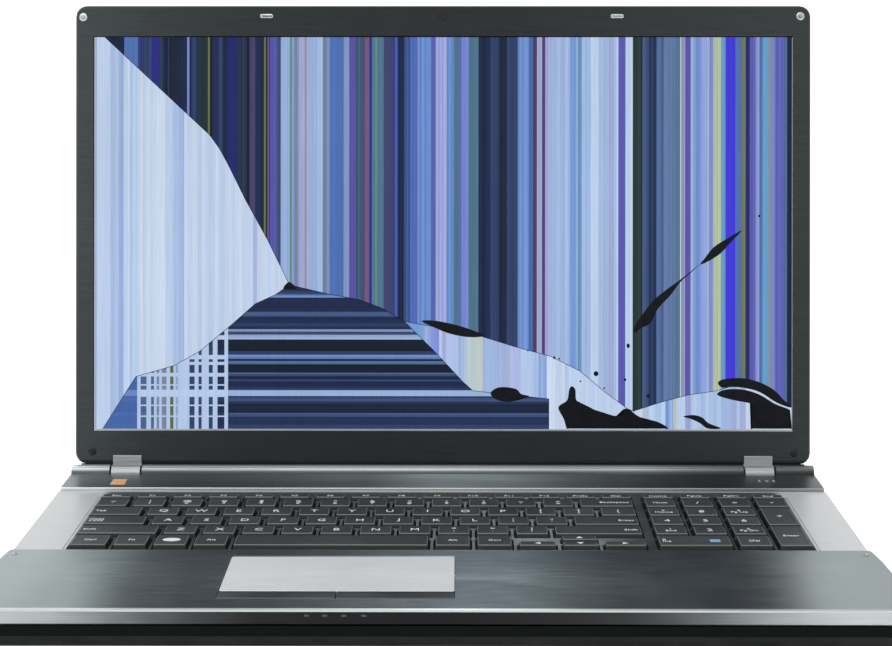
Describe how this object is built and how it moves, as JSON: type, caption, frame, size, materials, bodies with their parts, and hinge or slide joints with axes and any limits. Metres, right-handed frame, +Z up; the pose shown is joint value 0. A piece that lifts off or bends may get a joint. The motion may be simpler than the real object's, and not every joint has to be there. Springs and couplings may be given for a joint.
{
  "type": "broken laptop",
  "caption": "Open wide-screen laptop with a number pad, silver keyboard deck, dark palm rest and a shattered, leaking screen.",
  "frame": {"origin": "middle of the bounding box, on the table under the feet", "axes": "+X to the user's right along the hinge, +Y from the user to the screen, +Z up"},
  "size_m": [0.412, 0.3078, 0.2782],
  "materials": {
    "gunmetal_panel": "dark brushed gunmetal, satin",
    "silver_panel": "pale brushed silver, satin",
    "black_casing": "fine matt grain",
    "keycap_plastic": "smooth matt with white legends",
    "steel_parts": "bare sheet steel",
    "socket_plastic": "black moulded",
    "copper_pipe": "bare copper",
    "circuit_board": "green solder mask",
    "screen_glass": "broken liquid crystal panel with bands of colour, cracks and black leaks",
    "orange_button": "lit orange key"
  },
  "bodies": {
    "base": {"bottom_shell": "black_casing", "service_cover": "black_casing", "top_deck": "silver_panel", "palm_rest": "gunmetal_panel", "rear_strip": "gunmetal_panel", "keyboard_frame": "silver_panel", "keyboard_plate": "keycap_plastic", "touchpad": "silver_panel", "motherboard": "circuit_board", "heatsink": "copper_pipe", "fan_housing": "black_casing", "memory_module": "circuit_board", "wireless_card": "circuit_board", "hard_drive": "steel_parts", "optical_drive": "steel_parts", "battery": "black_casing", "speaker_left": "black_casing", "speaker_right": "black_casing", "usb_block_left": "steel_parts", "usb_socket_right": "steel_parts", "ethernet_socket": "steel_parts", "vga_socket": "steel_parts", "hdmi_socket": "steel_parts", "audio_block": "socket_plastic", "power_inlet": "socket_plastic", "hinge_bracket_left": "steel_parts", "hinge_bracket_right": "steel_parts"},
    "lid": {"lid_back_cover": "gunmetal_panel", "screen_bezel": "gunmetal_panel", "backlight_panel": "steel_parts", "glass_left_shard": "screen_glass", "glass_lower_shard": "screen_glass", "glass_main_shard": "screen_glass", "glass_strip_shard": "screen_glass", "glass_corner_shard": "screen_glass", "webcam_module": "black_casing", "display_cable": "black_casing", "hinge_arm_left": "steel_parts", "hinge_arm_right": "steel_parts", "hinge_cover_left": "silver_panel", "hinge_cover_right": "silver_panel"},
    "left_button": {"left_button": "gunmetal_panel"},
    "right_button": {"right_button": "gunmetal_panel"},
    "power_button": {"power_button": "orange_button"},
    "battery_latch": {"battery_latch": "black_casing"},
    "disc_tray": {"disc_tray": "black_casing"},
    "fan": {"fan_impeller": "black_casing"},
    "space_bar": {"space_bar": "keycap_plastic"},
    "enter_key": {"enter_key": "keycap_plastic"},
    "backspace_key": {"backspace_key": "keycap_plastic"},
    "left_shift_key": {"left_shift_key": "keycap_plastic"},
    "right_shift_key": {"right_shift_key": "keycap_plastic"},
    "tab_key": {"tab_key": "keycap_plastic"},
    "caps_lock_key": {"caps_lock_key": "keycap_plastic"},
    "numpad_zero_key": {"numpad_zero_key": "keycap_plastic"},
    "numpad_plus_key": {"numpad_plus_key": "keycap_plastic"},
    "numpad_enter_key": {"numpad_enter_key": "keycap_plastic"}
  },
  "joints": [
    {"name": "lid_hinge", "type": "hinge", "parent": "base", "child": "lid", "pos_m": [0, 0.10293, 0.0255], "axis": [1, 0, 0], "range_deg": [-32, 99.1]},
    {"name": "disc_tray_slide", "type": "slide", "parent": "base", "child": "disc_tray", "axis": [1, 0, 0], "range_m": [0, 0.105]},
    {"name": "battery_latch_slide", "type": "slide", "parent": "base", "child": "battery_latch", "axis": [1, 0, 0], "range_m": [0, 0.006], "stiffness_N_per_m": 150, "springref_m": -0.003},
    {"name": "fan_spin", "type": "hinge", "parent": "base", "child": "fan", "pos_m": [-0.158, 0.01793, 0.01], "axis": [0, 0, 1], "continuous": true},
    {"name": "left_button_press", "type": "slide", "parent": "base", "child": "left_button", "axis": [0, 0, -1], "range_m": [0, 0.0006], "stiffness_N_per_m": 800, "springref_m": -0.0004},
    {"name": "right_button_press", "type": "slide", "parent": "base", "child": "right_button", "axis": [0, 0, -1], "range_m": [0, 0.0006], "stiffness_N_per_m": 800, "springref_m": -0.0004},
    {"name": "power_button_press", "type": "slide", "parent": "base", "child": "power_button", "axis": [0, 0, -1], "range_m": [0, 0.0006], "stiffness_N_per_m": 800, "springref_m": -0.0004},
    {"name": "space_bar_press", "type": "slide", "parent": "base", "child": "space_bar", "axis": [0, 0, -1], "range_m": [0, 0.002], "stiffness_N_per_m": 300, "springref_m": -0.001},
    {"name": "enter_key_press", "type": "slide", "parent": "base", "child": "enter_key", "axis": [0, 0, -1], "range_m": [0, 0.002], "stiffness_N_per_m": 300, "springref_m": -0.001},
    {"name": "backspace_key_press", "type": "slide", "parent": "base", "child": "backspace_key", "axis": [0, 0, -1], "range_m": [0, 0.002], "stiffness_N_per_m": 300, "springref_m": -0.001},
    {"name": "left_shift_key_press", "type": "slide", "parent": "base", "child": "left_shift_key", "axis": [0, 0, -1], "range_m": [0, 0.002], "stiffness_N_per_m": 300, "springref_m": -0.001},
    {"name": "right_shift_key_press", "type": "slide", "parent": "base", "child": "right_shift_key", "axis": [0, 0, -1], "range_m": [0, 0.002], "stiffness_N_per_m": 300, "springref_m": -0.001},
    {"name": "tab_key_press", "type": "slide", "parent": "base", "child": "tab_key", "axis": [0, 0, -1], "range_m": [0, 0.002], "stiffness_N_per_m": 300, "springref_m": -0.001},
    {"name": "caps_lock_key_press", "type": "slide", "parent": "base", "child": "caps_lock_key", "axis": [0, 0, -1], "range_m": [0, 0.002], "stiffness_N_per_m": 300, "springref_m": -0.001},
    {"name": "numpad_zero_key_press", "type": "slide", "parent": "base", "child": "numpad_zero_key", "axis": [0, 0, -1], "range_m": [0, 0.002], "stiffness_N_per_m": 300, "springref_m": -0.001},
    {"name": "numpad_plus_key_press", "type": "slide", "parent": "base", "child": "numpad_plus_key", "axis": [0, 0, -1], "range_m": [0, 0.002], "stiffness_N_per_m": 300, "springref_m": -0.001},
    {"name": "numpad_enter_key_press", "type": "slide", "parent": "base", "child": "numpad_enter_key", "axis": [0, 0, -1], "range_m": [0, 0.002], "stiffness_N_per_m": 300, "springref_m": -0.001}
  ]
}
